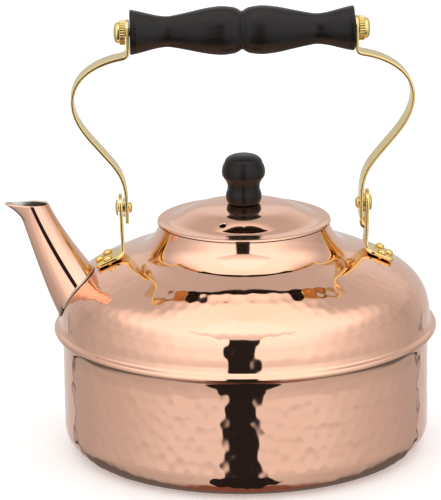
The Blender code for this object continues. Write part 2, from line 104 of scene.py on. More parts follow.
def buildStudio():
    world = bpy.data.worlds.new("studio")
    bpy.context.scene.world = world
    world.use_nodes = True
    world.cycles.sampling_method = "NONE"
    tree = world.node_tree
    tree.nodes.clear()
    way = add(tree, "ShaderNodeTexCoord")["Generated"]
    turned = add(tree, "ShaderNodeVectorRotate", {"Vector": way, "Angle": studio["turn"]},
                 rotation_type="Z_AXIS")[0]
    parts = add(tree, "ShaderNodeSeparateXYZ", {0: turned})
    towards = add(tree, "ShaderNodeMath", {0: parts["Y"], 1: -1.0}, operation="MULTIPLY")[0]
    around = add(tree, "ShaderNodeMath", {0: parts["X"], 1: towards}, operation="ARCTAN2")[0]
    aside = add(tree, "ShaderNodeMath", {0: around}, operation="DEGREES")[0]
    away = add(tree, "ShaderNodeMath", {0: aside}, operation="ABSOLUTE")[0]
    awayShare = add(tree, "ShaderNodeMath", {0: away, 1: 180.0}, operation="DIVIDE")[0]
    rise = add(tree, "ShaderNodeMath", {0: parts["Z"]}, operation="ARCSINE")[0]
    height = add(tree, "ShaderNodeMath", {0: rise}, operation="DEGREES")[0]
    heightShare = add(tree, "ShaderNodeMapRange", {0: height, 1: -90.0, 2: 90.0})[0]
    level = None
    for low, high, stops in studio["bands"]:
        ramp = add(tree, "ShaderNodeValToRGB", {"Fac": awayShare},
                   [(degrees / 180.0, value) for degrees, value in stops])[0]
        if level is None:
            level = ramp
            continue
        share = add(tree, "ShaderNodeMapRange", {0: height, 1: low, 2: high},
                    interpolation_type="SMOOTHSTEP")[0]
        level = add(tree, "ShaderNodeMix", {0: share, 6: level, 7: ramp}, data_type="RGBA")[2]
    widths = [((h + 90) / 180, width / 90) for h, width in studio["gapWidths"]]
    levels = [((h + 90) / 180, value) for h, value in studio["gapLevels"]]
    width = add(tree, "ShaderNodeValToRGB", {"Fac": heightShare}, widths)[0]
    halfWidth = add(tree, "ShaderNodeMath", {0: width, 1: 90.0}, operation="MULTIPLY")[0]
    offset = add(tree, "ShaderNodeMath", {0: aside, 1: studio["gapMiddle"]}, operation="SUBTRACT")[0]
    distance = add(tree, "ShaderNodeMath", {0: offset}, operation="ABSOLUTE")[0]
    past = add(tree, "ShaderNodeMath", {0: distance, 1: halfWidth}, operation="SUBTRACT")[0]
    outside = add(tree, "ShaderNodeMapRange", {0: past, 1: -studio["gapEdge"], 2: studio["gapEdge"]},
                  interpolation_type="SMOOTHSTEP")[0]
    dark = add(tree, "ShaderNodeValToRGB", {"Fac": heightShare}, levels)[0]
    mirrored = add(tree, "ShaderNodeMix", {0: outside, 6: dark, 7: level}, data_type="RGBA")[2]
    mirrorLight = add(tree, "ShaderNodeBackground", {"Color": mirrored, "Strength": studio["gain"]})[0]
    plainLight = add(tree, "ShaderNodeBackground",
                     {"Color": (1, 1, 1, 1), "Strength": studio["plainLevel"]})[0]
    ray = add(tree, "ShaderNodeLightPath")
    shown = add(tree, "ShaderNodeMixShader", {0: ray["Is Glossy Ray"], 1: plainLight, 2: mirrorLight})[0]
    add(tree, "ShaderNodeOutputWorld", {"Surface": shown})
    bpy.context.scene.view_settings.view_transform = "Standard"


# The camera faces the front, looking down 15 degrees with a long lens
cameraSetup = {"lens": 238.5, "sensor": 36.0, "distance": 1569 * mm, "down": 15.371, "turn": -2.5,
               "roll": -0.75, "height": 100 * mm, "aside": -11.3 * mm, "lower": 4.55 * mm}


def buildCamera():
    down = math.radians(cameraSetup["down"])
    up = Vector((0.0, math.sin(down), math.cos(down)))
    back = Vector((0.0, -math.cos(down), math.sin(down)))
    place = Vector((0.0, 0.0, cameraSetup["height"])) + back * cameraSetup["distance"]
    aim = Vector((cameraSetup["aside"], 0.0, cameraSetup["height"])) - up * cameraSetup["lower"]
    turn = Matrix.Rotation(math.radians(cameraSetup["turn"]), 4, "Z")
    data = bpy.data.cameras.new("camera")
    data.lens, data.sensor_width = cameraSetup["lens"], cameraSetup["sensor"]
    camera = linked("camera", data)
    look = (aim - place).to_track_quat("-Z", "Y").to_matrix().to_4x4()
    roll = Matrix.Rotation(math.radians(cameraSetup["roll"]), 4, "Z")
    camera.matrix_world = turn @ Matrix.Translation(place) @ look @ roll
    bpy.context.scene.camera = camera


# thin paper, lit from below too
paper = {"radius": 7.0, "lower": 0.0002, "grainScale": 400.0, "tone": (0.955, 0.965),
         "shader": {"Roughness": 0.9, "Specular IOR Level": 0.1, "Emission Color": (1, 1, 1, 1),
                    "Emission Strength": 0.2}}


def buildFloor():
    # pale matt paper sweep, lit evenly; the metal mirrors the studio's own dark floor instead
    form = bmesh.new()
    bmesh.ops.create_circle(form, cap_ends=True, segments=96, radius=paper["radius"])
    mesh = bpy.data.meshes.new("floor")
    form.to_mesh(mesh)
    form.free()
    mesh.transform(Matrix.Translation((0, 0, -paper["lower"])))
    floor = linked("floor", mesh)
    floor.visible_glossy = False
    matt = bpy.data.materials.new("mattPaper")
    matt.use_nodes = True
    tree, shader = matt.node_tree, matt.node_tree.nodes["Principled BSDF"]
    grain = add(tree, "ShaderNodeTexNoise", {"Scale": paper["grainScale"]})[0]
    tone = add(tree, "ShaderNodeMapRange", {0: grain, 3: paper["tone"][0], 4: paper["tone"][1]})[0]
    tree.links.new(tone, shader.inputs["Base Color"])
    for socket, value in paper["shader"].items():
        shader.inputs[socket].default_value = value
    mesh.materials.append(matt)


buildStudio()
buildCamera()
buildFloor()
print("studio, camera and floor ready")


# Metals and wood. Clouds tone the colour and the gloss; a finer grain, or the clouds, gives the bump.
# Both are (size of a spot, detail, squeeze along X Y Z, softness)

def pattern(tree, place, size, detail, squeeze=(1.0, 1.0, 1.0), softness=0.5):
    squeezed = add(tree, "ShaderNodeMapping", {"Vector": place, "Scale": squeeze})[0]
    return add(tree, "ShaderNodeTexNoise", {"Vector": squeezed, "Scale": 1 / size, "Detail": detail,
                                            "Roughness": softness})[0]


def makeFinish(name, finish, **changed):
    finish = dict(finish, **changed)
    material = bpy.data.materials.new(name)
    material.use_nodes = True
    tree = material.node_tree
    shader = tree.nodes["Principled BSDF"]
    place = add(tree, "ShaderNodeTexCoord")["Object"]
    clouds = pattern(tree, place, *finish["clouds"])
    toneLow, toneHigh = finish.get("toning", (0.0, 1.0))
    tone = add(tree, "ShaderNodeMapRange", {0: clouds, 1: toneLow, 2: toneHigh})[0]
    first, second = ((*linear(code), 1.0) for code in finish["colours"])
    colour = add(tree, "ShaderNodeMix", {0: tone, 6: first, 7: second}, data_type="RGBA")[2]
    tree.links.new(colour, shader.inputs["Base Color"])
    if "roughness" in finish:
        (low, high), (glossLow, glossHigh) = finish["roughness"], finish.get("glossing", (0.3, 0.7))
        rough = add(tree, "ShaderNodeMapRange", {0: clouds, 1: glossLow, 2: glossHigh, 3: low, 4: high})[0]
        tree.links.new(rough, shader.inputs["Roughness"])
    if "depth" in finish:
        grain = pattern(tree, place, *finish["grain"]) if "grain" in finish else clouds
        bump = add(tree, "ShaderNodeBump", {"Height": grain, "Distance": finish["depth"],
                                            "Strength": finish["strength"]})[0]
        tree.links.new(bump, shader.inputs["Normal"])
    for socket, value in finish["shader"].items():
        shader.inputs[socket].default_value = value
    return material


# spun copper sheet, buffed: near mirror, with faint cloudy toning and very fine buffing lines
copper = {"colours": ("F8C6AD", "F5BFA3"), "clouds": (30 * mm, 3.0, (1.0, 1.0, 1.0), 0.55),
          "roughness": (0.035, 0.065), "grain": (4.5 * mm, 4.0, (1.0, 1.0, 9.0)), "depth": 0.0012 * mm,
          "strength": 0.5, "shader": {"Metallic": 1.0}}

# painted shade: under the folded seam and the lid's edge the copper is coloured near black and dull, standing
# in for the shadow that falls in those gaps
underEdgeShade = {"colours": ("1E0F0A", "4A2617"), "clouds": (3 * mm, 4.0), "shader": {"Roughness": 0.6}}

# hand-wiped tin lining and solder: grey, satin, with soft wiping streaks
tinning = {"colours": ("B9B5AC", "DAD7CF"), "clouds": (12 * mm, 5.0), "roughness": (0.38, 0.2),
           "grain": (1.2 * mm, 3.0), "depth": 0.02 * mm, "strength": 0.35, "shader": {"Metallic": 1.0}}

# pale yellow brass strip, bright-dipped: gold with a fine drawn grain along its length
brass = {"colours": ("E7C574", "F4DD9C"), "clouds": (9 * mm, 4.0), "roughness": (0.11, 0.2),
         "grain": (4.2 * mm, 3.0, (1.0, 12.0, 1.0)), "depth": 0.004 * mm, "strength": 0.6,
         "shader": {"Metallic": 1.0}}

# zinc-plated steel: cool grey, slightly mottled
steel = {"colours": ("9A9B9E", "B8B9BB"), "clouds": (2 * mm, 4.0), "roughness": (0.24, 0.36),
         "glossing": (0.0, 1.0), "shader": {"Metallic": 1.0}}

# ebonised beech, turned and waxed: near black, satin, with fine pores along the grain
wood = {"colours": ("0B0908", "1F130E"), "toning": (0.42, 0.75), "roughness": (0.27, 0.36),
        "depth": 0.03 * mm, "strength": 0.4, "shader": {"IOR": 1.5, "Specular IOR Level": 0.3}}
poreWidth, poreStretch = 0.7 * mm, 14.0


def woodGrain(lengthwise):
    squeeze = tuple(1.0 if axis == lengthwise else poreStretch for axis in "XYZ")
    return (poreWidth * poreStretch, 6.0, squeeze, 0.6)


hammeredCopper = makeFinish("hammeredCopper", copper)
polishedCopper = makeFinish("polishedCopper", copper, roughness=(0.028, 0.052))
# painted shade for the undersides of the seam and the lid's edge
darkOxide = makeFinish("darkOxide", underEdgeShade)
wipedTin = makeFinish("wipedTin", tinning)
paleBrass = makeFinish("paleBrass", brass)
platedSteel = makeFinish("platedSteel", steel)
gripWood = makeFinish("ebonisedWoodGrip", wood, clouds=woodGrain("X"))
knobWood = makeFinish("ebonisedWoodKnob", wood, clouds=woodGrain("Z"))
print("materials ready")


# Shapes that several pieces share

def bezier(count, *corners):
    knots = [Vector((x, 0.0, z)) for x, z in corners]
    return [(p.x, p.z) for p in interpolate_bezier(*knots, count)]


def arc(centre, radius, start, end, count):
    turns = [math.radians(start + (end - start) * i / (count - 1)) for i in range(count)]
    return [(centre[0] + radius * math.cos(a), centre[1] + radius * math.sin(a)) for a in turns]


def chained(line, curves):
    # the line with (count, corners) curves added; a point that two share is kept once
    for count, corners in curves:
        points = bezier(count, *corners)
        shared = bool(line) and math.dist(line[-1], points[0]) < 1e-3
        line = line + points[shared:]
    return line


def evened(line, step):
    # the same line in equal steps
    lengths = [0.0]
    for (x0, z0), (x1, z1) in zip(line, line[1:]):
        lengths.append(lengths[-1] + math.hypot(x1 - x0, z1 - z0))
    count = max(2, round(lengths[-1] / step) + 1)
    points, k = [], 0
    for i in range(count):
        want = lengths[-1] * i / (count - 1)
        while k < len(line) - 2 and lengths[k + 1] < want:
            k += 1
        share = (want - lengths[k]) / max(lengths[k + 1] - lengths[k], 1e-9)
        points.append(tuple(a + share * (b - a) for a, b in zip(line[k], line[k + 1])))
    return points


def inset(line, sheet):
    # the line moved to its right hand side by the sheet's thickness
    moved = []
    for i, (x, z) in enumerate(line):
        x0, z0 = line[max(i - 1, 0)]
        x1, z1 = line[min(i + 1, len(line) - 1)]
        length = math.hypot(x1 - x0, z1 - z0) or 1.0
        moved.append((max(x + (z1 - z0) / length * sheet, 0.0), z - (x1 - x0) / length * sheet))
    return moved


def newPiece(name, form, materials):
    mesh = bpy.data.meshes.new(name)
    form.to_mesh(mesh)
    form.free()
    for material in materials:
        mesh.materials.append(material)
    mesh.shade_smooth()
    mesh.set_sharp_from_angle(angle=math.radians(38))
    return linked(name, mesh)


def turned(name, line, around, materials, closed=False, liningFrom=None, marked=None, shadeFrom=None):
    # spins a line of (radius, z) in millimetres about Z; faces past liningFrom take the second material,
    # and those from the start of the shaded band up to there the third, a painted shade under edges
    form = bmesh.new()
    markLayer = form.verts.layers.float.new("marked") if marked else None
    rings = []
    for number, (radius, z) in enumerate(line):
        if radius < 1e-4:
            ring = [form.verts.new((0.0, 0.0, z * mm))] * around
        else:
            ring = [form.verts.new((radius * mm * math.cos(math.tau * i / around),
                                    radius * mm * math.sin(math.tau * i / around), z * mm))
                    for i in range(around)]
        if marked and marked[0] <= number <= marked[1]:
            for vertex in ring:
                vertex[markLayer] = 1.0
        rings.append(ring)
    pairs = list(zip(rings, rings[1:])) + ([(rings[-1], rings[0])] if closed else [])
    for number, (high, low) in enumerate(pairs):
        for i in range(around):
            j = (i + 1) % around
            corners = [high[i], low[i], low[j], high[j]]
            corners = [v for k, v in enumerate(corners) if v not in corners[:k]]
            if len(corners) > 2:
                face = form.faces.new(corners)
                if liningFrom is not None and number >= liningFrom:
                    face.material_index = 1
                elif shadeFrom is not None and number >= shadeFrom:
                    face.material_index = 2
    bmesh.ops.recalc_face_normals(form, faces=form.faces)
    return newPiece(name, form, materials)


def finished(piece):
    # turns what the modifiers make into the piece's own mesh
    bpy.context.view_layer.update()
    made = bpy.data.meshes.new_from_object(piece.evaluated_get(bpy.context.evaluated_depsgraph_get()))
    piece.modifiers.clear()
    old = piece.data
    piece.data = made
    made.name = piece.name
    if old.users == 0:
        bpy.data.meshes.remove(old)
    return piece


def combined(piece, tools, operation="DIFFERENCE"):
    # cuts the tools out of the piece, or joins them to it
    for tool in tools:
        change = piece.modifiers.new("combine", "BOOLEAN")
        change.operation, change.solver, change.object = operation, "EXACT", tool
    finished(piece)
    for tool in tools:
        bpy.data.objects.remove(tool)
    return piece


def cutHoles(piece, holes):
    # holes are (centre, direction, radius), in metres
    cutters = []
    for centre, direction, radius in holes:
        form = bmesh.new()
        bmesh.ops.create_cone(form, cap_ends=True, segments=40, radius1=radius, radius2=radius, depth=26 * mm)
        turn = Vector(direction).to_track_quat("Z", "Y").to_matrix().to_4x4()
        bmesh.ops.transform(form, verts=form.verts, matrix=Matrix.Translation(centre) @ turn)
        cutters.append(newPiece("cutter", form, []))
    return combined(piece, cutters)


def treeInputs(tree, sockets):
    # named inputs of a Geometry Nodes tree, with its geometry in and out
    for way in ("INPUT", "OUTPUT"):
        tree.interface.new_socket("Geometry", in_out=way, socket_type="NodeSocketGeometry")
    for name, kind in sockets.items():
        tree.interface.new_socket(name, in_out="INPUT", socket_type="NodeSocket" + kind)
    return add(tree, "NodeGroupInput")


def treeEnd(tree, geometry, finish, where=True):
    # instances made real, the material set and the geometry put out
    whole = add(tree, "GeometryNodeRealizeInstances", {0: geometry})[0]
    dressed = add(tree, "GeometryNodeSetMaterial", {0: whole, 1: where, 2: finish})[0]
    add(tree, "NodeGroupOutput", {0: dressed})
    return tree


def withTree(piece, tree, values):
    # runs the tree on the piece with these inputs, then keeps the plain mesh
    modifier = piece.modifiers.new(tree.name, "NODES")
    modifier.node_group = tree
    keys = {item.name: item.identifier for item in tree.interface.items_tree if item.in_out == "INPUT"}
    for name, value in values.items():
        modifier[keys[name]] = value
    return finished(piece)


# Hammer marks: shallow round-bottomed dishes in staggered rows, meeting in soft ridges

def hammerTree():
    tree = bpy.data.node_groups.new("hammerMarks", "GeometryNodeTree")
    inside = treeInputs(tree, {
        "Profile": "Object", "Sheet": "Material", "Marks Around": "Int", "Rows": "Int", "First Row": "Float",
        "Row Step": "Float", "Slant": "Float", "Scatter": "Float", "Reach": "Float", "Rise": "Float",
        "Stretch": "Float", "Soften": "Int", "Seed": "Int"})
    index = add(tree, "GeometryNodeInputIndex")[0]
    total = add(tree, "ShaderNodeMath", {0: inside["Marks Around"], 1: inside["Rows"]},
                operation="MULTIPLY")[0]
    rowExact = add(tree, "ShaderNodeMath", {0: index, 1: inside["Marks Around"]}, operation="DIVIDE")[0]
    row = add(tree, "ShaderNodeMath", {0: rowExact}, operation="FLOOR")[0]
    slant = add(tree, "ShaderNodeMath", {0: row, 1: inside["Slant"]}, operation="MULTIPLY")[0]
    column = add(tree, "ShaderNodeMath", {0: index, 1: slant}, operation="ADD")[0]
    share = add(tree, "ShaderNodeMath", {0: column, 1: inside["Marks Around"]}, operation="DIVIDE")[0]
    angle = add(tree, "ShaderNodeMath", {0: share, 1: math.tau}, operation="MULTIPLY")[0]
    length = add(tree, "ShaderNodeMath", {0: row, 1: inside["Row Step"], 2: inside["First Row"]},
                 operation="MULTIPLY_ADD")[0]
    profile = add(tree, "GeometryNodeObjectInfo", {0: inside["Profile"]})["Geometry"]
    onLine = add(tree, "GeometryNodeSampleCurve", {0: profile, 3: length}, mode="LENGTH")["Position"]
    placed = add(tree, "ShaderNodeVectorRotate", {"Vector": onLine, "Angle": angle},
                 rotation_type="Z_AXIS")[0]
    low = add(tree, "ShaderNodeMath", {0: inside["Scatter"], 1: -1.0}, operation="MULTIPLY")[0]
    scatter = add(tree, "FunctionNodeRandomValue", {0: low, 1: inside["Scatter"], 8: inside["Seed"]},
                  data_type="FLOAT_VECTOR")[0]
    centre = add(tree, "ShaderNodeVectorMath", {0: placed, 1: scatter}, operation="ADD")[0]
    squeeze = add(tree, "ShaderNodeMath", {0: 1.0, 1: inside["Stretch"]}, operation="DIVIDE")[0]
    flatten = add(tree, "ShaderNodeCombineXYZ", {0: 1.0, 1: 1.0, 2: squeeze})[0]
    centreFlat = add(tree, "ShaderNodeVectorMath", {0: centre, 1: flatten}, operation="MULTIPLY")[0]
    centres = add(tree, "GeometryNodePoints", {0: total, 1: centreFlat})[0]
    here = add(tree, "GeometryNodeInputPosition")[0]
    hereFlat = add(tree, "ShaderNodeVectorMath", {0: here, 1: flatten}, operation="MULTIPLY")[0]
    distance = add(tree, "GeometryNodeProximity", {0: centres, 2: hereFlat},
                   target_element="POINTS")["Distance"]
    out = add(tree, "ShaderNodeMath", {0: distance, 1: inside["Reach"]}, operation="DIVIDE",
              use_clamp=True)[0]
    square = add(tree, "ShaderNodeMath", {0: out, 1: out}, operation="MULTIPLY")[0]
    dish = add(tree, "ShaderNodeMath", {0: 1.0, 1: square}, operation="SUBTRACT")[0]
    marked = add(tree, "GeometryNodeInputNamedAttribute", {0: "marked"}, data_type="FLOAT")[0]
    onlyOut = add(tree, "ShaderNodeMath", {0: dish, 1: marked}, operation="MULTIPLY")[0]
    soft = add(tree, "GeometryNodeBlurAttribute", {0: onlyOut, 1: inside["Soften"]})[0]
    rise = add(tree, "ShaderNodeMath", {0: soft, 1: inside["Rise"]}, operation="MULTIPLY")[0]
    normal = add(tree, "GeometryNodeInputNormal")[0]
    move = add(tree, "ShaderNodeVectorMath", {0: normal, "Scale": rise}, operation="SCALE")[0]
    dished = add(tree, "GeometryNodeSetPosition", {0: inside["Geometry"], "Offset": move})[0]
    slotHere = add(tree, "GeometryNodeInputMaterialIndex")[0]      # the lining keeps its tin
    faceOut = add(tree, "ShaderNodeMath", {0: slotHere, 1: 0.5}, operation="LESS_THAN")[0]
    return treeEnd(tree, dished, inside["Sheet"], faceOut)


def profileCurve(name, line):
    curve = bpy.data.curves.new(name, "CURVE")
    curve.dimensions = "3D"
    spline = curve.splines.new("POLY")
    spline.points.add(len(line) - 1)
    for point, (radius, z) in zip(spline.points, line):
        point.co = (radius * mm, 0.0, z * mm, 1.0)
    return linked(name, curve)


hammerMarks = hammerTree()
# sizes in metres, a negative rise being a dish; each row is half a mark round from the last
marksBoth = {"Marks Around": 76, "Slant": 0.5, "Stretch": 1.1}


def hammered(piece, line, marks):
    guide = profileCurve(piece.name + "Guide", line)
    withTree(piece, hammerMarks, dict(marks, Profile=guide, Sheet=hammeredCopper))
    bpy.data.objects.remove(guide)
    return piece


# Pan: straight wall, rounded heel, flat base, and its rim folded out under the seam

pan = {"radius": 87.0, "heel": 12.3, "sheet": 1.0, "around": 720, "step": 0.62, "marksEnd": -35,
       "lip": [(89.2, 58.7), (88.6, 58.65)],
       "lipCurve": [(88.5, 57.3), (87.95, 56.6), (87.5, 55.9), (87.25, 53.6)],
       "flare": [(87.25, 53.6), (87.05, 51.6), (87.0, 49.5), (87.0, 46.0)],
       "base": (70.0, 60.0, 45.0, 25.0, 8.0, 0.0), "baseInside": 40.0,
       "lipInside": [(86.0, 54.0), (86.5, 58.0), (87.6, 58.9), (89.2, 58.9)],
       "marks": {**marksBoth, "Rows": 9, "First Row": 0.0055, "Row Step": 0.0053, "Scatter": 0.0016,
                 "Reach": 0.0052, "Rise": -0.00027, "Soften": 5, "Seed": 11}}


def buildPan():
    heel, sheet = pan["heel"], pan["sheet"]
    middle = (pan["radius"] - heel, heel)
    lip = pan["lip"] + bezier(14, *pan["lipCurve"])
    wall = evened(bezier(10, *pan["flare"]) + arc(middle, heel, 0, pan["marksEnd"], 12), pan["step"])
    base = arc(middle, heel, pan["marksEnd"], -90, 14)[1:] + [(r, 0.0) for r in pan["base"]]
    outside = lip + wall[1:] + base
    inside = [(0.0, sheet), (pan["baseInside"], sheet)]
    inside += arc(middle, heel - sheet, -90, 0, 10) + pan["lipInside"]
    piece = turned("pan", outside + inside, pan["around"], [hammeredCopper, wipedTin], closed=True,
                   liningFrom=len(outside) - 1, marked=(len(lip), len(lip) + len(wall) + 4))
    hammered(piece, wall, pan["marks"])
    return piece


# Dome: round shoulder with hammer marks, smooth flare and upright neck, hem folded round the pan's rim

dome = {"sheet": 0.8, "around": 640, "step": 0.63,
        "neck": [[(39.7, 110.1), (40.9, 104.6), (45.0, 98.6), (50.5, 96.4)],
                 [(50.5, 96.4), (53.0, 95.45), (56.0, 94.6), (59.0, 93.6)]],
        "shoulder": [[(59.0, 93.6), (63.6, 92.0), (69.2, 89.7), (75.0, 86.35)],
                     [(75.0, 86.35), (80.6, 83.1), (88.0, 77.5), (88.0, 64.6)]],
        "flare": [(88.0, 64.6), (88.0, 62.6), (88.25, 61.5), (89.35, 60.9)],
        "bead": ((89.4, 59.2), 1.5, 62, -90, 12), "beadEnd": [(88.7, 57.75), (88.2, 58.1)],
        "hemInside": [(88.3, 58.4), (89.3, 58.45), (89.9, 58.9), (89.9, 59.6), (89.3, 60.0), (88.0, 60.6),
                      (87.3, 61.9)],
        # the last faces before the lining, under the hem, are coloured as painted shade
        "liningEnd": 62.5, "shadeFaces": 6,
        "marks": {**marksBoth, "Rows": 7, "First Row": 0.0095, "Row Step": 0.0055, "Scatter": 0.0010,
                  "Reach": 0.0048, "Rise": -0.00024, "Soften": 4, "Seed": 5}}


def joined(stretches, count):
    return chained([], [(count, corners) for corners in stretches])


def domeLine():
    return joined(dome["neck"] + dome["shoulder"], 30)


def buildDome():
    neck = joined(dome["neck"], 16)
    shoulder = evened(joined(dome["shoulder"], 80), dome["step"])
    hem = bezier(9, *dome["flare"])[1:] + arc(*dome["bead"]) + dome["beadEnd"]
    sheet = dome["sheet"]
    outside = neck + shoulder[1:] + hem
    lining = inset(shoulder, sheet)[::-8] + inset(neck, sheet)[::-4]      # smooth, so fewer rings do
    inside = dome["hemInside"] + [(r, z) for r, z in lining if z > dome["liningEnd"]]
    # the third material paints the shadow on the hem's underside
    piece = turned("dome", outside + inside, dome["around"], [hammeredCopper, wipedTin, darkOxide],
                   closed=True, liningFrom=len(outside) - 1, shadeFrom=len(outside) - dome["shadeFaces"],
                   marked=(len(neck), len(neck) + len(shoulder)))
    hammered(piece, shoulder, dome["marks"])
    return piece


panPiece = buildPan()
domePiece = buildDome()
print("pan and dome hammered")


# Spout: seamless oval tube that narrows upwards, pouring lip turned out, soldered on

spout = {"outerEdge": [(-84.5, 58.0), (-93.0, 72.0), (-99.5, 97.0), (-107.2, 120.2)],
         "innerEdge": [(-64.0, 79.0), (-74.0, 91.0), (-85.5, 106.0), (-92.0, 120.2)],
         "rootHalf": 22.5, "mouthHalf": 6.0, "taper": 1.75, "lip": 5.6, "lipLength": 0.115,
         "sides": 112, "rings": 90, "sheet": 0.9, "gap": 0.3, "solder": 0.32,
         "hole": ((-81.5 * mm, 0.0, 79.5 * mm), (-0.82, 0.0, 0.57), 12.0 * mm)}


def alongEdge(corners, share):
    a, b, c, d = (Vector((x, z)) for x, z in corners)
    left = 1.0 - share
    return a * left ** 3 + b * 3 * left * left * share + c * 3 * left * share * share + d * share ** 3


def spoutPoint(angle, share):
    outer, inner = alongEdge(spout["outerEdge"], share), alongEdge(spout["innerEdge"], share)
    half = spout["mouthHalf"] + (spout["rootHalf"] - spout["mouthHalf"]) * (1 - share) ** spout["taper"]
    mix = (1.0 + math.cos(angle)) / 2
    turnOut = max(0.0, (share - 1 + spout["lipLength"]) / spout["lipLength"]) ** 1.9
    x = inner.x + mix * (outer.x - inner.x) - spout["lip"] * turnOut * max(0.0, math.cos(angle)) ** 3
    return Vector((x, half * math.sin(angle), inner.y + mix * (outer.y - inner.y)))


def underDome(point, line):
    # whether the point lies below the dome's outline, with the solder's gap
    radius = math.hypot(point.x, point.y)
    if radius > line[-1][0] + spout["gap"]:
        return False
    for (r0, z0), (r1, z1) in zip(line, line[1:]):
        if r0 <= radius <= r1:
            top = z0 + (z1 - z0) * (radius - r0) / max(r1 - r0, 1e-9)
            return point.z < top + spout["gap"] * 1.3
    return point.z < line[-1][1] + 20


def buildSpout():
    # each line up the tube starts where it leaves the dome, found by halving
    line = domeLine()
    sides, rings = spout["sides"], spout["rings"]
    form = bmesh.new()
    grid, seam = [], []
    for i in range(sides):
        angle = math.tau * i / sides
        low, high = 0.0, 1.0
        for _ in range(26):
            middle = (low + high) / 2
            if underDome(spoutPoint(angle, middle), line):
                low = middle
            else:
                high = middle
        seam.append(spoutPoint(angle, high) * mm)
        grid.append([form.verts.new(spoutPoint(angle, high + (1 - high) * (k / rings) ** 0.9) * mm)
                     for k in range(rings + 1)])
    for i in range(sides):
        j = (i + 1) % sides
        for k in range(rings):
            form.faces.new((grid[i][k], grid[i][k + 1], grid[j][k + 1], grid[j][k]))
    piece = newPiece("spout_tube", form, [polishedCopper, wipedTin, wipedTin])
    wall = piece.modifiers.new("sheet", "SOLIDIFY")
    wall.thickness, wall.offset = spout["sheet"] * mm, -1.0
    wall.material_offset, wall.material_offset_rim = 1, 0
    finished(piece)
    return piece, seam


def beadTree():
    tree = bpy.data.node_groups.new("solderBead", "GeometryNodeTree")
    inside = treeInputs(tree, {"Radius": "Float", "Sides": "Int", "Finish": "Material"})
    path = add(tree, "GeometryNodeMeshToCurve", {0: inside["Geometry"]})[0]
    ring = add(tree, "GeometryNodeCurvePrimitiveCircle", {0: inside["Sides"], 4: inside["Radius"]})[0]
    bead = add(tree, "GeometryNodeCurveToMesh", {0: path, 1: ring})[0]
    smooth = add(tree, "GeometryNodeSetShadeSmooth", {0: bead})[0]
    return treeEnd(tree, smooth, inside["Finish"])


def buildSolder(seam):
    mesh = bpy.data.meshes.new("spout_solder")
    mesh.from_pydata(seam, [(i, (i + 1) % len(seam)) for i in range(len(seam))], [])
    return withTree(linked("spout_solder", mesh), beadTree(), {"Radius": spout["solder"] * mm, "Sides": 10,
                                                          "Finish": wipedTin})


spoutPiece, seamPath = buildSpout()
solderPiece = buildSolder(seamPath)
cutHoles(domePiece, [spout["hole"]])
print("spout soldered on")


# Lid: shallow spun cap with a rolled edge, on a skirt that drops inside the neck

lid = {"sheet": 0.8, "around": 360,
       "cap": [[(1.8, 118.2), (9.0, 118.2), (15.0, 117.95), (20.5, 117.05)],
               [(20.5, 117.05), (23.2, 116.6), (26.0, 115.55), (31.0, 113.0)],
               [(31.0, 113.0), (32.6, 112.18), (34.0, 111.2), (37.3, 111.2)]],
       "edge": [(37.3, 111.2), (39.6, 111.1), (41.0, 111.2), (41.0, 110.1)],
       "edgeEnd": [(41.0, 109.75), (40.85, 109.55), (40.6, 109.5)],
       "under": [(40.35, 109.6), (40.2, 109.8), (40.1, 110.15), (39.4, 110.4)], "liningStart": 38.0,
       # the rolled edge's last faces and its underside are coloured as painted shade
       "shadeFaces": 4, "vent": ((-11.0 * mm, -26.0 * mm, 115.0 * mm), (0, 0, 1), 1.65 * mm)}


def buildLid():
    cap = joined(lid["cap"], 22)
    edge = bezier(10, *lid["edge"])[1:] + lid["edgeEnd"]
    outside = cap + edge
    inside = [(r, z) for r, z in inset(cap, lid["sheet"])[::-3] if r < lid["liningStart"]]
    # the third material paints the shadow under the lid's rolled edge
    piece = turned("lid_cap", outside + lid["under"] + inside, lid["around"],
                   [polishedCopper, wipedTin, darkOxide], closed=True,
                   liningFrom=len(outside + lid["under"]), shadeFrom=len(outside) - lid["shadeFaces"])
    return cutHoles(piece, [lid["vent"]])


skirt = {"around": 240, "start": (33.8, 110.05),
         "bend": [(36.8, 110.05), (37.9, 110.05), (38.4, 109.7), (38.4, 108.6)],
         "wall": [(38.4, 108.6), (38.4, 98.2)], "foot": [(38.3, 98.0), (37.8, 98.0)],
         "inside": [(37.7, 98.2), (37.7, 108.6), (37.2, 109.35), (33.8, 109.35)]}


def buildSkirt():
    line = chained([skirt["start"]], [(10, skirt["bend"])]) + evened(skirt["wall"], 2.0)[1:]
    return turned("skirt", line + skirt["foot"] + skirt["inside"], skirt["around"], [wipedTin], closed=True)


# Knob: turned head over a waist and a foot, screwed up through the lid

knob = {"around": 144, "top": (0.0, 142.1),
        "head": [(14, [(3.2, 142.0), (6.4, 141.6), (8.8, 140.2), (9.0, 137.9)]),
                 (18, [(9.0, 137.9), (9.9, 136.6), (10.4, 134.6), (10.25, 132.9)]),
                 (10, [(10.25, 132.9), (10.1, 131.8), (9.7, 131.2), (9.1, 130.4)])],
        "waist": [(16, [(8.75, 129.9), (7.6, 128.2), (7.3, 126.4), (7.9, 124.4)])],
        "foot": [(12, [(8.15, 123.9), (8.7, 122.3), (8.6, 120.4), (7.6, 118.7)])],
        "bore": [(7.4, 118.5), (1.8, 118.5), (1.8, 130.0), (0.0, 130.0)]}


def buildKnob():
    line = chained([knob["top"]], knob["head"] + knob["waist"] + knob["foot"])
    return turned("knob", line + knob["bore"], knob["around"], [knobWood])


screw = {"around": 48, "headLow": 114.0, "headHigh": 116.0, "head": 3.4, "shank": 1.5, "tip": 129.5,
         "slot": (8 * mm, 0.9 * mm, 1.4 * mm), "washerAround": 64,
         "washer": [(5.0, 116.8), (4.85, 117.0), (1.9, 117.0), (1.8, 116.8), (1.8, 116.4), (1.9, 116.3),
                    (4.85, 116.3), (5.0, 116.5)]}


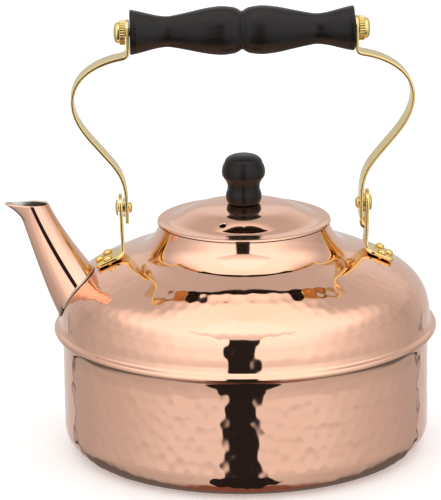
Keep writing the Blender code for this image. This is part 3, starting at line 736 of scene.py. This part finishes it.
def buildKnobScrew():
    washer = turned("screw_washer", screw["washer"], screw["washerAround"], [platedSteel], closed=True)
    low, high, head, shank, tip = (screw[key] for key in ("headLow", "headHigh", "head", "shank", "tip"))
    line = [(0.0, tip), (shank - 0.2, tip), (shank, tip - 0.3), (shank, high), (head - 0.1, high),
            (head, high - 0.2)]
    line = chained(line, [(9, [(head, high - 1.0), (3.2, low + 0.4), (2.2, low), (1.0, low)])]) + [(0.0, low)]
    piece = turned("screw", line, screw["around"], [platedSteel])
    form = bmesh.new()      # driver slot across the head
    bmesh.ops.create_cube(form, size=1.0)
    bmesh.ops.scale(form, vec=screw["slot"], verts=form.verts)
    bmesh.ops.translate(form, vec=(0, 0, low * mm), verts=form.verts)
    return washer, combined(piece, [newPiece("slotCutter", form, [])])


lidPiece, skirtPiece, knobPiece = buildLid(), buildSkirt(), buildKnob()
washerPiece, screwPiece = buildKnobScrew()
print("lid and knob ready")


# Brass strip: straps and lugs are swept with eased edges

strip = {"edge": 0.4, "across": 8, "edgeSteps": 4}


def stripSection(half, thick):
    # rounded rectangle round the strip, (across, up) in millimetres
    edge = min(strip["edge"], half * 0.6)
    points = []
    for corner, (sx, sz) in enumerate([(1, 1), (-1, 1), (-1, -1), (1, -1)]):
        cx, cz = sx * (half - edge), sz * (thick / 2 - edge)
        for k in range(strip["edgeSteps"]):
            turn = math.radians(90 * corner + 90 * k / (strip["edgeSteps"] - 1))
            points.append((cx + edge * math.cos(turn), cz + edge * math.sin(turn)))
        if corner in (0, 2):
            for k in range(1, strip["across"]):
                points.append((cx - sx * 2 * (half - edge) * k / strip["across"], sz * thick / 2))
    return points


def sweptStrip(name, stations, thick, side):
    # stations are (x, z, half width) in millimetres; side -1 turns the strip to the spout side
    form = bmesh.new()
    loops = []
    for i, (x, z, half) in enumerate(stations):
        x0, z0, _ = stations[max(i - 1, 0)]
        x1, z1, _ = stations[min(i + 1, len(stations) - 1)]
        length = math.hypot(x1 - x0, z1 - z0)
        nx, nz = (z0 - z1) / length, (x1 - x0) / length
        loops.append([form.verts.new((side * (x + up * nx) * mm, side * across * mm, (z + up * nz) * mm))
                      for across, up in stripSection(half, thick)])
    count = len(loops[0])
    for a, b in zip(loops, loops[1:]):
        for i in range(count):
            form.faces.new((a[i], a[(i + 1) % count], b[(i + 1) % count], b[i]))
    form.faces.new(loops[0])
    form.faces.new(loops[-1][::-1])
    bmesh.ops.triangulate(form, faces=[f for f in form.faces if len(f.verts) > 4])
    bmesh.ops.recalc_face_normals(form, faces=form.faces)
    return newPiece(name, form, [paleBrass])


def roundEnd(x, z, radius, lean=0.0, count=16):
    ends = []
    for i in range(count):
        turn = math.radians(7 + 83 * i / (count - 1))
        rise = radius * math.cos(turn)
        ends.append((x + lean * rise, z + rise, radius * math.sin(turn)))
    return ends


strap = {"sheet": 1.6, "half": 6.1, "tabX": 53.4, "gripZ": 201.4, "pivotX": 55.2, "pivotZ": 117.4,
         "tail": 6.4, "pinHole": 2.15, "rodHole": 2.3,
         "bends": [[(53.4, 193.4), (53.4, 190.6), (54.6, 190.3), (57.2, 189.8)],
                   [(57.2, 189.8), (67.0, 188.0), (79.7, 182.0), (79.7, 169.5)],
                   [(79.7, 169.5), (79.7, 160.0), (72.5, 152.4), (67.6, 146.6)],
                   [(67.6, 146.6), (60.0, 137.6), (55.9, 134.0), (55.4, 122.4)]]}


def sideHole(side, x, z, radius):
    return (side * x * mm, 0, z * mm), (1, 0, 0), radius * mm


def buildStrap(name, side):
    line = joined(strap["bends"], 26)
    line += [(strap["pivotX"], strap["pivotZ"]), (strap["pivotX"], strap["pivotZ"] - strap["tail"])]
    stations = roundEnd(strap["tabX"], strap["gripZ"], strap["half"])
    stations += [(x, z, strap["half"]) for x, z in line]
    piece = sweptStrip(name, stations, strap["sheet"], side)
    return cutHoles(piece, [sideHole(side, strap["pivotX"], strap["pivotZ"], strap["pinHole"]),
                            sideHole(side, strap["tabX"], strap["gripZ"], strap["rodHole"])])


lug = {"sheet": 1.7, "half": 6.5, "footHalf": 8.4, "x": 58.1, "lean": 0.03, "pinHole": 2.3,
       "middle": (57.65, 103.0), "bend": [(57.5, 98.6), (57.45, 96.4), (58.4, 95.4), (59.95, 94.75)],
       "footStart": (61.8, 93.95), "footEnd": (70.2, 90.32), "footCorner": 2.2}


def buildLug(name, side):
    half, footHalf, corner = lug["half"], lug["footHalf"], lug["footCorner"]
    stations = roundEnd(lug["x"], strap["pivotZ"], half, lug["lean"]) + [(*lug["middle"], half)]
    bend = bezier(16, *lug["bend"])
    stations += [(x, z, half + i / (len(bend) - 1) * (footHalf - half)) for i, (x, z) in enumerate(bend)]
    (x0, z0), (x1, z1) = lug["footStart"], lug["footEnd"]
    stations.append((x0, z0, footHalf))
    for i in range(9):      # the foot's front corners are rounded off
        turn = math.radians(90 * i / 8)
        share = 1 - corner * (1 - math.sin(turn)) / math.hypot(x1 - x0, z1 - z0)
        stations.append((x0 + share * (x1 - x0), z0 + share * (z1 - z0),
                         footHalf - corner * (1 - math.cos(turn))))
    piece = sweptStrip(name, stations, lug["sheet"], side)
    if side == rearSide:
        addStopTab(piece)
    return cutHoles(piece, [sideHole(side, lug["x"], strap["pivotZ"], lug["pinHole"])])


stopTab = {"below": 9.8, "reach": 2.4, "halfHeight": 2.6, "halfWidth": 1.75, "sunk": 0.2, "ease": 0.25}


def addStopTab(piece):
    # half-round lance pressed inwards: the strap's tail comes down on it
    centre = strap["pivotZ"] - stopTab["below"]
    halfHeight, halfWidth = stopTab["halfHeight"], stopTab["halfWidth"]
    back, face = lug["x"] - stopTab["sunk"], lug["x"] - lug["sheet"] / 2 - stopTab["sunk"]
    turns = [math.pi / 2 + math.pi * i / 24 for i in range(25)]
    outline = [(face + stopTab["reach"] * math.cos(a), centre + halfHeight * math.sin(a)) for a in turns]
    outline = [(back, centre + halfHeight)] + outline + [(back, centre - halfHeight)]
    form = bmesh.new()
    rows = [[form.verts.new((x * mm, y * mm, z * mm)) for x, z in outline] for y in (-halfWidth, halfWidth)]
    form.faces.new(rows[0])
    form.faces.new(rows[1][::-1])
    for i in range(len(outline)):
        j = (i + 1) % len(outline)
        form.faces.new((rows[0][i], rows[0][j], rows[1][j], rows[1][i]))
    bmesh.ops.recalc_face_normals(form, faces=form.faces)
    tab = newPiece("stopTab", form, [paleBrass])
    ease = tab.modifiers.new("ease", "BEVEL")
    ease.width, ease.segments, ease.limit_method = stopTab["ease"] * mm, 2, "ANGLE"
    combined(piece, [finished(tab)], "UNION")


sides = {spoutSide: "spout", rearSide: "rear"}
strapPieces = {side: buildStrap(label + "_strap_strip", side) for side, label in sides.items()}
lugPieces = {side: buildLug(label + "_lug_strip", side) for side, label in sides.items()}
print("straps and lugs bent")


# Copies of one turned part, set out by Geometry Nodes

def copiesTree():
    tree = bpy.data.node_groups.new("copies", "GeometryNodeTree")
    inside = treeInputs(tree, {"Part": "Object", "Finish": "Material"})
    part = add(tree, "GeometryNodeObjectInfo", {0: inside["Part"]})["Geometry"]
    turn = add(tree, "GeometryNodeInputNamedAttribute", {0: "turn"}, data_type="FLOAT_VECTOR")[0]
    copies = add(tree, "GeometryNodeInstanceOnPoints", {0: inside["Geometry"], 2: part, 5: turn})[0]
    return treeEnd(tree, copies, inside["Finish"])


copies = copiesTree()


def setOut(name, part, places, finish):
    # places are (centre, direction of the part's Z)
    mesh = bpy.data.meshes.new(name)
    mesh.from_pydata([Vector(centre) for centre, direction in places], [], [])
    turns = mesh.attributes.new("turn", "FLOAT_VECTOR", "POINT")
    for item, (centre, direction) in zip(turns.data, places):
        item.vector = Vector(direction).to_track_quat("Z", "Y").to_euler()
    piece = linked(name, mesh)
    withTree(piece, copies, {"Part": part, "Finish": finish})
    bpy.data.objects.remove(part)
    return piece


def footPoint(x, y):
    (x0, z0), (x1, z1) = lug["footStart"], lug["footEnd"]
    return Vector((x, y, z0 + (z1 - z0) * (x - x0) / (x1 - x0))) * mm


footRivet = {"around": 40, "head": 2.25, "base": 1.15, "rise": 1.6, "shank": 1.2, "inside": -2.5, "tail": 1.8,
             "places": [(64.4, -5.5), (64.4, 5.5), (68.1, 0.0)]}


def buildFootRivets():
    base, shank, inside, tail = (footRivet[key] for key in ("base", "shank", "inside", "tail"))
    turns = [math.radians(90 * i / 12) for i in range(13)]
    line = [(footRivet["head"] * math.sin(a) ** 0.75, base + footRivet["rise"] * math.cos(a)) for a in turns]
    line += [(shank, base), (shank, inside), (tail, inside), (tail, inside - 0.6), (tail - 0.3, inside - 0.9),
             (0.0, inside - 0.9)]
    part = turned("footRivet", line, footRivet["around"], [paleBrass])
    (x0, z0), (x1, z1) = lug["footStart"], lug["footEnd"]
    out = Vector((z0 - z1, 0.0, x1 - x0)).normalized()
    places = [(Vector((side * p.x, side * p.y, p.z)), (side * out.x, 0.0, out.z))
              for side in sides for p in (footPoint(x, y) for x, y in footRivet["places"])]
    return setOut("foot_rivets", part, places, paleBrass)


def sidePlaces(z):
    return [((0.0, 0.0, z * mm), (side, 0.0, 0.0)) for side in sides]


pivotRivet = {"around": 56, "top": (0.0, 60.75),
              "head": [(0.6, 60.75), (2.6, 60.7), (3.8, 60.2), (4.0, 59.4)],
              "shank": [(2.0, 59.4), (2.0, 54.1), (2.8, 54.1)],
              "tail": [(2.8, 54.0), (2.7, 53.1), (1.6, 52.6), (0.5, 52.6)], "tip": (0.0, 52.6)}
pivotWasher = {"around": 64, "line": [(4.6, 56.75), (4.45, 56.9), (2.45, 56.9), (2.3, 56.75), (2.3, 56.45),
                                      (2.45, 56.3), (4.45, 56.3), (4.6, 56.45)]}


def buildPivotRivets():
    line = [pivotRivet["top"]] + bezier(12, *pivotRivet["head"]) + pivotRivet["shank"]
    line += bezier(9, *pivotRivet["tail"]) + [pivotRivet["tip"]]
    part = turned("pivotRivet", line, pivotRivet["around"], [paleBrass])
    return setOut("pivot_rivets", part, sidePlaces(strap["pivotZ"]), paleBrass)


def buildPivotWashers():
    part = turned("pivotWasher", pivotWasher["line"], pivotWasher["around"], [paleBrass], closed=True)
    return setOut("pivot_washers", part, sidePlaces(strap["pivotZ"]), paleBrass)


# Cap nut: straight-fluted collar and a smooth round cap

capNut = {"collar": 5.9, "cap": 4.9, "start": 54.5, "collarEnd": 57.1, "end": 59.9, "step": 0.2,
          "bore": 2.3, "boreEnd": 58.6, "flutes": 30, "fluteDepth": 0.34}


def fluteTree():
    tree = bpy.data.node_groups.new("flutes", "GeometryNodeTree")
    inside = treeInputs(tree, {"Flutes": "Int", "Rise": "Float", "Finish": "Material"})
    here = add(tree, "GeometryNodeInputPosition")[0]
    parts = add(tree, "ShaderNodeSeparateXYZ", {0: here})
    turn = add(tree, "ShaderNodeMath", {0: parts["Y"], 1: parts["X"]}, operation="ARCTAN2")[0]
    many = add(tree, "ShaderNodeMath", {0: turn, 1: inside["Flutes"]}, operation="MULTIPLY")[0]
    wave = add(tree, "ShaderNodeMath", {0: many}, operation="COSINE")[0]
    groove = add(tree, "ShaderNodeMapRange", {0: wave, 1: -1.0, 2: 0.55})[0]
    lost = add(tree, "ShaderNodeMath", {0: 1.0, 1: groove}, operation="SUBTRACT")[0]
    marked = add(tree, "GeometryNodeInputNamedAttribute", {0: "marked"}, data_type="FLOAT")[0]
    onCollar = add(tree, "ShaderNodeMath", {0: lost, 1: marked}, operation="MULTIPLY")[0]
    rise = add(tree, "ShaderNodeMath", {0: onCollar, 1: inside["Rise"]}, operation="MULTIPLY")[0]
    flat = add(tree, "ShaderNodeVectorMath", {0: here, 1: (1.0, 1.0, 0.0)}, operation="MULTIPLY")[0]
    out = add(tree, "ShaderNodeVectorMath", {0: flat}, operation="NORMALIZE")[0]
    move = add(tree, "ShaderNodeVectorMath", {0: out, "Scale": rise}, operation="SCALE")[0]
    fluted = add(tree, "GeometryNodeSetPosition", {0: inside["Geometry"], "Offset": move})[0]
    return treeEnd(tree, fluted, inside["Finish"])


def buildCapNuts():
    start, collarEnd, end = capNut["start"], capNut["collarEnd"], capNut["end"]
    cap, collar, bore = capNut["cap"], capNut["collar"], capNut["bore"]
    turns = [math.radians(90 * i / 15) for i in range(1, 15)]
    low = collarEnd + capNut["step"]
    line = [(0.0, end)] + [(cap * math.sin(a) ** 0.9, low + (end - low) * math.cos(a) ** 0.6) for a in turns]
    line += [(cap, collarEnd + 0.15), (cap + 0.15, collarEnd)]
    first = len(line)
    line += [(collar - 0.3, collarEnd), (collar, collarEnd - 0.25), (collar, start + 0.25),
             (collar - 0.3, start)]
    last = len(line) - 1
    line += [(bore, start), (bore, capNut["boreEnd"]), (0.0, capNut["boreEnd"])]
    part = turned("capNut", line, capNut["flutes"] * 8, [paleBrass], marked=(first, last))
    withTree(part, fluteTree(), {"Flutes": capNut["flutes"], "Rise": -capNut["fluteDepth"] * mm,
                                 "Finish": paleBrass})
    return setOut("cap_nuts", part, sidePlaces(strap["gripZ"]), paleBrass)


footRivets, pivotRivets = buildFootRivets(), buildPivotRivets()
pivotWashers, capNuts = buildPivotWashers(), buildCapNuts()
print("rivets, washers and nuts set out")


# Grip: turned wood on a steel rod; two swells meet in a groove, ends flare with a fine bead line

grip = {"half": 52.3, "bore": 2.3, "rod": 2.0, "rodHalf": 58.3, "around": 160,
        # (distance from the middle, radius)
        "stations": [(0.0, 9.0), (0.5, 9.15), (1.8, 10.0), (3.4, 10.7), (6.5, 11.2), (9.5, 11.4),
                     (13.0, 11.15), (18.0, 10.4), (25.0, 8.9), (31.0, 7.7), (35.0, 7.2), (40.0, 7.8),
                     (46.5, 9.4), (49.7, 10.2)],
        "end": [(49.95, 10.1), (50.15, 10.1), (50.4, 10.38), (51.6, 10.5), (52.05, 10.45), (52.3, 10.2)]}


def smoothLine(points, steps):
    # Catmull-Rom through the points
    line = []
    for i in range(len(points) - 1):
        p0, p1 = Vector(points[max(i - 1, 0)]), Vector(points[i])
        p2, p3 = Vector(points[i + 1]), Vector(points[min(i + 2, len(points) - 1)])
        for k in range(steps):
            t = k / steps
            line.append(tuple(0.5 * (2 * p1 + (p2 - p0) * t + (2 * p0 - 5 * p1 + 4 * p2 - p3) * t * t
                                     + (3 * p1 - p0 - 3 * p2 + p3) * t ** 3)))
    return line + [tuple(points[-1])]


def layInGrip(piece):
    # from the Z axis to the grip's own line
    move = Matrix.Translation((0, 0, strap["gripZ"] * mm)) @ Matrix.Rotation(math.pi / 2, 4, "Y")
    piece.data.transform(move)
    return piece


def buildGrip():
    half = smoothLine(grip["stations"], 5) + grip["end"]
    line = [(radius, along) for along, radius in reversed(half[1:])]
    line += [(radius, -along) for along, radius in half]
    line += [(grip["bore"], -grip["half"]), (grip["bore"], grip["half"])]
    wooden = layInGrip(turned("grip_wood", line, grip["around"], [gripWood], closed=True))
    half, radius = grip["rodHalf"], grip["rod"]
    rodLine = [(0.0, half), (radius - 0.2, half), (radius, half - 0.2), (radius, -half + 0.2),
               (radius - 0.2, -half), (0.0, -half)]
    return wooden, layInGrip(turned("grip_rod_bar", rodLine, 40, [platedSteel]))


gripPiece, rodPiece = buildGrip()
print("grip ready")


# What each piece stands for, and which body it rides on

hung = [
    (panPiece, "kettle", "hammered_copper", ["lower_body"]),
    (domePiece, "kettle", "hammered_copper", ["upper_body"]),
    (spoutPiece, "kettle", "polished_copper", ["spout"]),
    (solderPiece, "kettle", "steel", []),
    (footRivets, "kettle", "brass",
     [f"{label}_foot_rivet_{i}" for label in sides.values() for i in (1, 2, 3)]),
    (pivotRivets, "kettle", "brass", [label + "_pivot_rivet" for label in sides.values()]),
    (pivotWashers, "kettle", "brass", [label + "_pivot_washer" for label in sides.values()]),
    (lidPiece, "lid", "polished_copper", ["lid"]),
    (skirtPiece, "lid", "polished_copper", ["lid_skirt"]),
    (knobPiece, "lid", "black_wood", ["lid_knob"]),
    (washerPiece, "lid", "steel", ["knob_washer"]),
    (screwPiece, "lid", "steel", ["knob_screw"]),
    (gripPiece, "bail", "black_wood", ["grip"]),
    (rodPiece, "bail", "steel", ["grip_rod"]),
    (capNuts, "bail", "brass", [label + "_cap_nut" for label in sides.values()]),
]
for side, label in sides.items():
    hung.append((lugPieces[side], "kettle", "brass", [label + "_lug"]))
    hung.append((strapPieces[side], "bail", "brass", [label + "_strap"]))

for piece, body, slotName, nodes in hung:
    for layer in [a.name for a in piece.data.attributes if a.name in ("marked", "turn")]:
        piece.data.attributes.remove(piece.data.attributes[layer])
    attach(piece, body)
    if nodes:
        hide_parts(*nodes)
print("pieces hung on their bodies:", len(hung))
